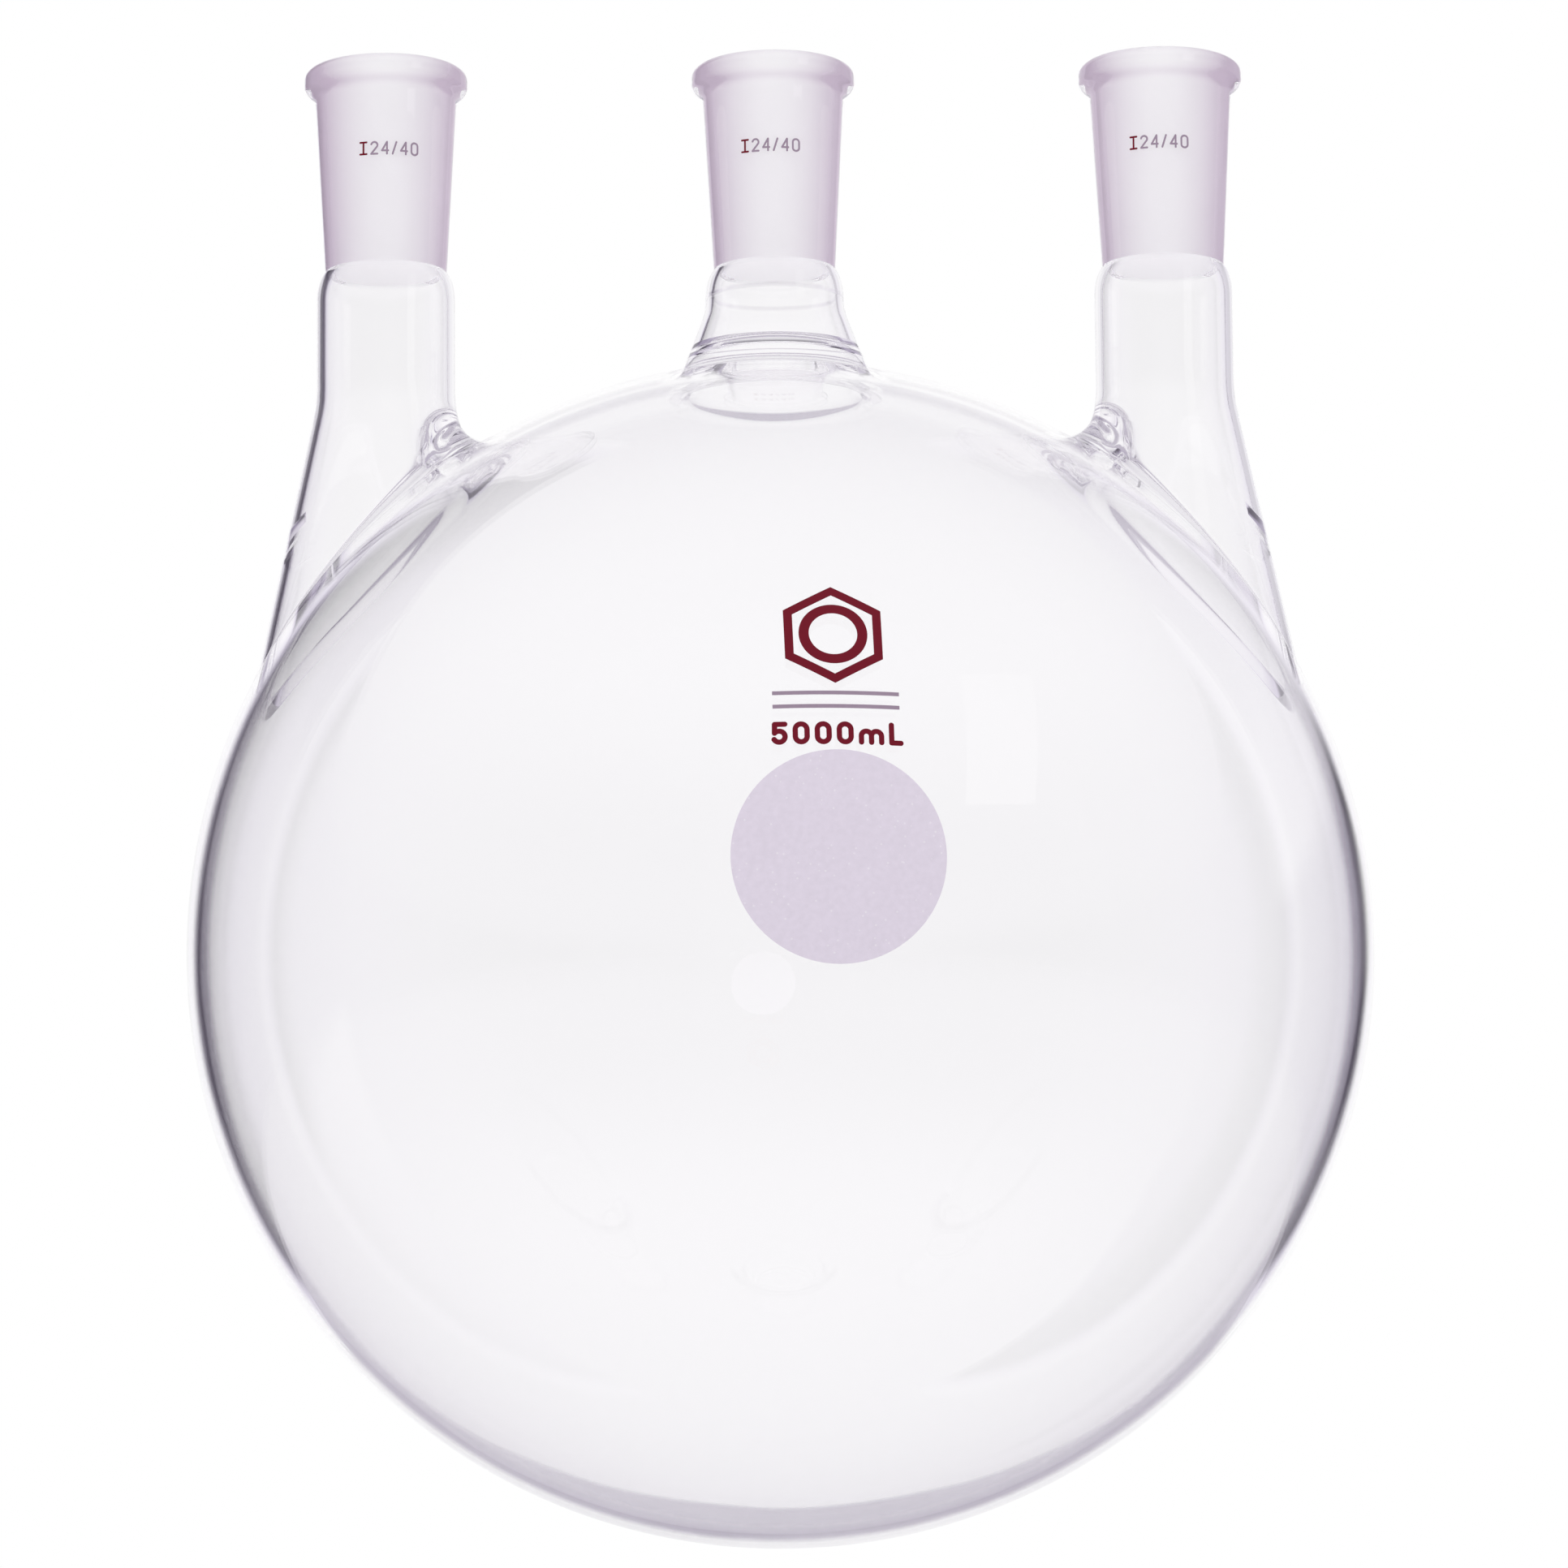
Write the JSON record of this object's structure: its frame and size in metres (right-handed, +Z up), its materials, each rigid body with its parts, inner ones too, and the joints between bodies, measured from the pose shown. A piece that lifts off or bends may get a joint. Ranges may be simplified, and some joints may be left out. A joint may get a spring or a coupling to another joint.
{
  "type": "round bottom flask",
  "caption": "Round-bottom laboratory flask: thin spherical glass bulb with a row of upright parallel necks that end in ground taper sockets, with fired enamel marks.",
  "frame": {"origin": "lowest point of the bulb, on the axis of the centre neck", "axes": "+Z up along the centre neck; the necks stand in a row along X; the printed marks face -Y"},
  "size_m": [0.223, 0.2231, 0.2835],
  "materials": {
    "clear_glass": "clear fire-polished borosilicate glass with a faint lilac edge",
    "ground_glass": "glass with a fine-ground frosted bore and a fire-polished outside",
    "spot_enamel": "matt fired enamel, pale lilac grey, made to be written on",
    "red_enamel": "dark red fired enamel",
    "grey_enamel": "thin mauve-grey fired enamel"
  },
  "bodies": {
    "root": {"bulb": "clear_glass", "left_neck_tube": "clear_glass", "centre_neck_tube": "clear_glass", "right_neck_tube": "clear_glass", "left_ground_socket": "ground_glass", "centre_ground_socket": "ground_glass", "right_ground_socket": "ground_glass", "marking_spot": "spot_enamel", "emblem": "red_enamel", "print_rules": "grey_enamel", "capacity_mark": "red_enamel", "left_size_mark": "grey_enamel", "centre_size_mark": "grey_enamel", "right_size_mark": "grey_enamel"}
  },
  "joints": []
}
